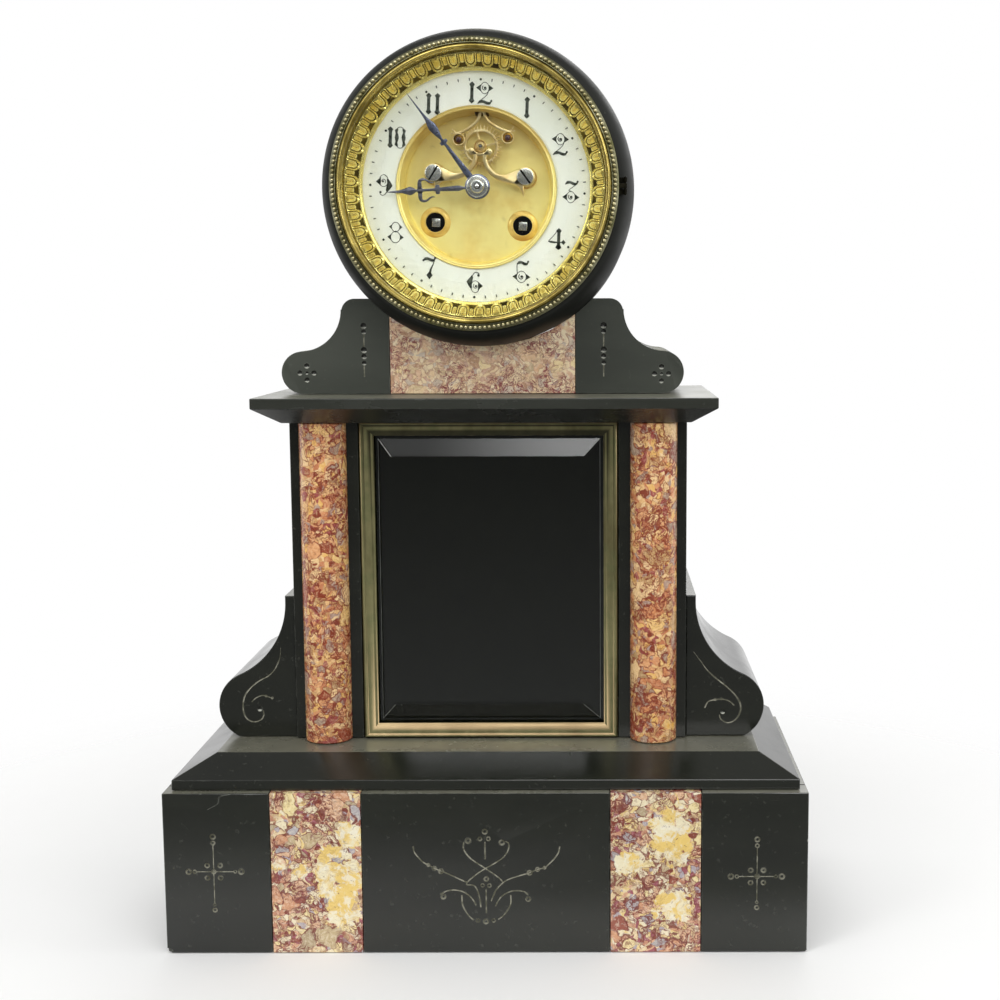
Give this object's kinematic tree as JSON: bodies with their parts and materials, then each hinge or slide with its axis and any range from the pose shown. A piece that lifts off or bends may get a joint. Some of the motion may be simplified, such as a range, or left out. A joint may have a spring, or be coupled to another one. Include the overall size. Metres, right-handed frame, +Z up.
{
  "type": "mantel clock",
  "caption": "Black slate mantel clock: marble columns and panels, round enamel dial with visible escapement, hinged glazed bezel, rear door, pendulum, bell.",
  "frame": {"origin": "middle of the base's underside", "axes": "+Z up, the dial faces -Y, +X to the viewer's right"},
  "size_m": [0.3, 0.135, 0.4276],
  "materials": {
    "slate": "polished black slate, dusty on top",
    "marble": "polished red and cream breccia",
    "aged_brass": "dull and tarnished",
    "gilt_brass": "gilt, satin",
    "movement_brass": "machined",
    "bell_metal": "turned bell bronze",
    "polished_steel": "polished",
    "blued_steel": "heat-blued, aged",
    "enamel": "white vitreous enamel",
    "garnet": "polished red jewel",
    "black_board": "flat black",
    "window_glass": "bevelled plate",
    "dial_glass": "thin bevelled disc"
  },
  "bodies": {
    "case": {"base_front_center": "slate", "base_front_left": "slate", "base_front_right": "slate", "base_marble_left": "marble", "base_marble_right": "marble", "base_side_left": "slate", "base_side_right": "slate", "base_back": "slate", "plinth": "slate", "pilaster_left": "slate", "pilaster_right": "slate", "column_left": "marble", "column_right": "marble", "body_side_left": "slate", "body_side_right": "slate", "body_back": "slate", "bracket_left": "slate", "bracket_right": "slate", "window_frame": "aged_brass", "window_glass": "window_glass", "window_board": "black_board", "cornice": "slate", "saddle": "slate", "saddle_panel": "marble", "drum": "slate", "sight_ring": "gilt_brass", "chapter_ring": "enamel", "dial_dish": "gilt_brass", "front_plate": "movement_brass", "back_plate": "movement_brass", "escape_cock": "gilt_brass", "cock_screw_left": "polished_steel", "cock_screw_right": "polished_steel", "suspension_cock": "movement_brass", "bell": "bell_metal", "rear_bezel": "movement_brass"},
    "front_bezel": {"front_bezel": "gilt_brass", "front_glass": "dial_glass"},
    "rear_door": {"rear_door": "movement_brass"},
    "minute_hand": {"minute_hand": "blued_steel", "hand_nut": "polished_steel", "cannon_pinion": "polished_steel"},
    "hour_hand": {"hour_hand": "blued_steel", "hour_wheel": "movement_brass"},
    "minute_wheel": {"minute_wheel": "movement_brass"},
    "escape_wheel": {"escape_wheel": "movement_brass"},
    "third_wheel": {"third_wheel": "movement_brass"},
    "center_wheel": {"center_wheel": "movement_brass"},
    "second_wheel": {"second_wheel": "movement_brass"},
    "going_barrel": {"going_barrel": "movement_brass"},
    "strike_barrel": {"strike_barrel": "movement_brass"},
    "going_arbor": {"going_arbor": "polished_steel"},
    "strike_arbor": {"strike_arbor": "polished_steel"},
    "pendulum": {"pendulum_rod": "polished_steel", "pendulum_bob": "movement_brass"},
    "pallets": {"pallets": "gilt_brass", "pallet_jewel_left": "garnet", "pallet_jewel_right": "garnet"},
    "regulator_arbor": {"regulator_arbor": "polished_steel"},
    "hammer": {"hammer": "polished_steel"}
  },
  "joints": [
    {"name": "bezel_hinge", "type": "hinge", "parent": "case", "child": "front_bezel", "pos_m": [0.0652, -0.0479, 0.3548], "axis": [0, 0, 1], "range_deg": [0, 110]},
    {"name": "rear_door_hinge", "type": "hinge", "parent": "case", "child": "rear_door", "pos_m": [0.0554, 0.0656, 0.3548], "axis": [0, 0, -1], "range_deg": [0, 110]},
    {"name": "minute_hand_turn", "type": "hinge", "parent": "case", "child": "minute_hand", "pos_m": [-0.0021, -0.0435, 0.3548], "axis": [0, 1, 0], "continuous": true},
    {"name": "hour_hand_turn", "type": "hinge", "parent": "case", "child": "hour_hand", "pos_m": [-0.0021, -0.0405, 0.3548], "axis": [0, 1, 0], "continuous": true},
    {"name": "minute_wheel_turn", "type": "hinge", "parent": "case", "child": "minute_wheel", "pos_m": [-0.0026, -0.0205, 0.34281], "axis": [0, 1, 0], "continuous": true},
    {"name": "escape_wheel_turn", "type": "hinge", "parent": "case", "child": "escape_wheel", "pos_m": [-0.0013, -0.0305, 0.37378], "axis": [0, 1, 0], "continuous": true},
    {"name": "third_wheel_turn", "type": "hinge", "parent": "case", "child": "third_wheel", "pos_m": [-0.01248, -0.0095, 0.36676], "axis": [0, 1, 0], "continuous": true},
    {"name": "center_wheel_turn", "type": "hinge", "parent": "case", "child": "center_wheel", "pos_m": [-0.0021, -0.0135, 0.3548], "axis": [0, 1, 0], "continuous": true},
    {"name": "second_wheel_turn", "type": "hinge", "parent": "case", "child": "second_wheel", "pos_m": [0.01366, -0.0115, 0.35989], "axis": [0, 1, 0], "continuous": true},
    {"name": "going_barrel_turn", "type": "hinge", "parent": "case", "child": "going_barrel", "pos_m": [0.01756, 0.0025, 0.33796], "axis": [0, 1, 0], "continuous": true},
    {"name": "strike_barrel_turn", "type": "hinge", "parent": "case", "child": "strike_barrel", "pos_m": [-0.0231, 0.0025, 0.33967], "axis": [0, 1, 0], "continuous": true},
    {"name": "going_winding", "type": "hinge", "parent": "case", "child": "going_arbor", "pos_m": [0.01756, -0.0215, 0.33796], "axis": [0, 1, 0], "range_deg": [0, 1620]},
    {"name": "strike_winding", "type": "hinge", "parent": "case", "child": "strike_arbor", "pos_m": [-0.0231, -0.0215, 0.33967], "axis": [0, 1, 0], "range_deg": [0, 1620]},
    {"name": "pendulum_swing", "type": "hinge", "parent": "case", "child": "pendulum", "pos_m": [-0.00055, 0.0255, 0.39177], "axis": [0, 1, 0], "range_deg": [-4, 4]},
    {"name": "pallet_rock", "type": "hinge", "parent": "case", "child": "pallets", "pos_m": [-0.00055, -0.0325, 0.39177], "axis": [0, 1, 0], "range_deg": [-4, 4]},
    {"name": "regulator_turn", "type": "hinge", "parent": "case", "child": "regulator_arbor", "pos_m": [0.00025, -0.0075, 0.41095], "axis": [0, 1, 0], "range_deg": [-720, 720]},
    {"name": "hammer_lift", "type": "hinge", "parent": "case", "child": "hammer", "pos_m": [0.03604, 0.0315, 0.36922], "axis": [0, -1, 0], "range_deg": [0, 14], "stiffness_Nm_per_rad": 0.02, "springref_deg": -11.46}
  ],
  "couplings": [
    {"joint": "hour_hand_turn", "follows": "minute_hand_turn", "ratio": 0.083333},
    {"joint": "minute_wheel_turn", "follows": "minute_hand_turn", "ratio": -0.33333},
    {"joint": "third_wheel_turn", "follows": "escape_wheel_turn", "ratio": -0.1},
    {"joint": "center_wheel_turn", "follows": "escape_wheel_turn", "ratio": 0.01},
    {"joint": "second_wheel_turn", "follows": "escape_wheel_turn", "ratio": -0.002},
    {"joint": "going_barrel_turn", "follows": "escape_wheel_turn", "ratio": 0.00025},
    {"joint": "pallet_rock", "follows": "pendulum_swing", "ratio": 1}
  ]
}
